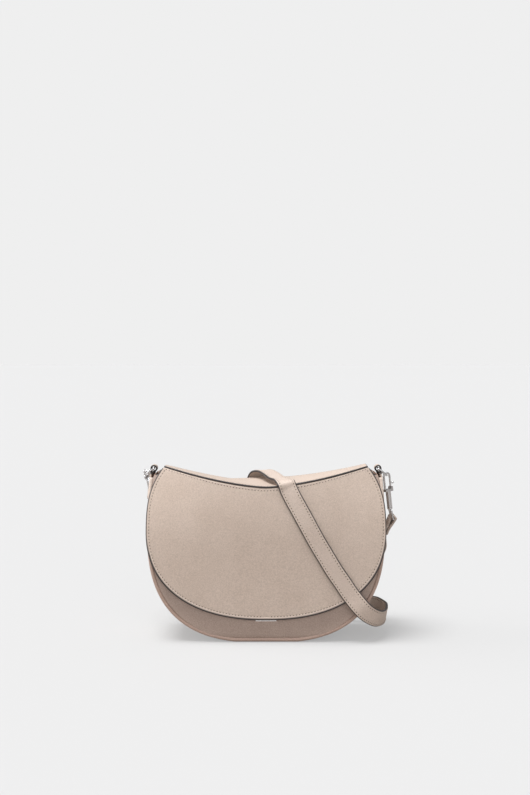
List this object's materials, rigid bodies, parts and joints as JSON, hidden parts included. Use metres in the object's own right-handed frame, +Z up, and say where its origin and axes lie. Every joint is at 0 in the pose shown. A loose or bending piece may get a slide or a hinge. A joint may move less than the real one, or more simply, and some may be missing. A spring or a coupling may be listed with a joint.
{
  "type": "saddle handbag",
  "caption": "Saddle-shaped crossbody handbag with a curved flap, piped gusset body, magnetic closure, side rings and a clip-on shoulder strap draped over it.",
  "frame": {"origin": "middle of the flat base, on the surface that the bag stands on", "axes": "+Z up, +X to the right as seen from the front, -Y out of the bag's front"},
  "size_m": [0.2553, 0.1425, 0.169],
  "materials": {
    "grained_leather": "fine pebbled grain, matt",
    "piping_leather": "smooth, matt",
    "strap_leather": "fine grain, dark painted edges",
    "lining_suede": "soft microsuede",
    "fibre_board": "raw fibre board",
    "magnet": "plated",
    "trigger_metal": "polished",
    "polished_metal": "polished"
  },
  "bodies": {
    "root": {"front_panel": "grained_leather", "back_panel": "grained_leather", "gusset": "grained_leather", "front_piping": "piping_leather", "back_piping": "piping_leather", "front_board": "fibre_board", "back_board": "fibre_board", "base_board": "fibre_board", "front_lining": "lining_suede", "back_lining": "lining_suede", "gusset_lining": "lining_suede", "slip_pocket": "lining_suede", "closure_plate": "polished_metal", "closure_magnet": "magnet", "left_ring_tab": "grained_leather", "right_ring_tab": "grained_leather", "left_swivel_eye": "polished_metal", "right_swivel_eye": "polished_metal", "shoulder_strap": "strap_leather"},
    "flap": {"flap_roof": "grained_leather", "flap_front": "grained_leather", "flap_board": "fibre_board", "roof_lining": "lining_suede", "flap_lining": "lining_suede", "flap_magnet": "magnet"},
    "left_ring": {"left_d_ring": "polished_metal"},
    "right_ring": {"right_d_ring": "polished_metal"},
    "left_snap": {"left_hook": "polished_metal", "left_gate_pin": "trigger_metal"},
    "right_snap": {"right_hook": "polished_metal", "right_gate_pin": "trigger_metal"},
    "left_trigger": {"left_gate": "trigger_metal"},
    "right_trigger": {"right_gate": "trigger_metal"}
  },
  "joints": [
    {"name": "flap_hinge", "type": "hinge", "parent": "root", "child": "flap", "pos_m": [0, 0.035, 0.1495], "axis": [-1, 0, 0], "range_deg": [0, 105], "deforming": ["shoulder_strap"]},
    {"name": "left_ring_swing", "type": "hinge", "parent": "root", "child": "left_ring", "pos_m": [-0.112, 0.012, 0.1635], "axis": [0, -1, 0], "range_deg": [0, 3]},
    {"name": "right_ring_swing", "type": "hinge", "parent": "root", "child": "right_ring", "pos_m": [0.112, 0.012, 0.1635], "axis": [0, 1, 0], "range_deg": [0, 3]},
    {"name": "left_snap_swivel", "type": "hinge", "parent": "root", "child": "left_snap", "pos_m": [-0.11958, 0.01766, 0.15819], "axis": [0, -0.829, 0.5592], "range_deg": [-8, 3]},
    {"name": "right_snap_swivel", "type": "hinge", "parent": "root", "child": "right_snap", "pos_m": [0.12089, 0.012, 0.15604], "axis": [-0.1045, 0, 0.9945], "range_deg": [-25, 1]},
    {"name": "left_trigger_press", "type": "hinge", "parent": "left_snap", "child": "left_trigger", "pos_m": [-0.12199, 0.02959, 0.15361], "axis": [0.766, 0.3594, 0.5329], "range_deg": [0, 20], "stiffness_Nm_per_rad": 0.002, "springref_deg": -11.46},
    {"name": "right_trigger_press", "type": "hinge", "parent": "right_snap", "child": "right_trigger", "pos_m": [0.12524, 0.01415, 0.14398], "axis": [0.5704, -0.8192, 0.06], "range_deg": [0, 20], "stiffness_Nm_per_rad": 0.002, "springref_deg": -11.46}
  ]
}
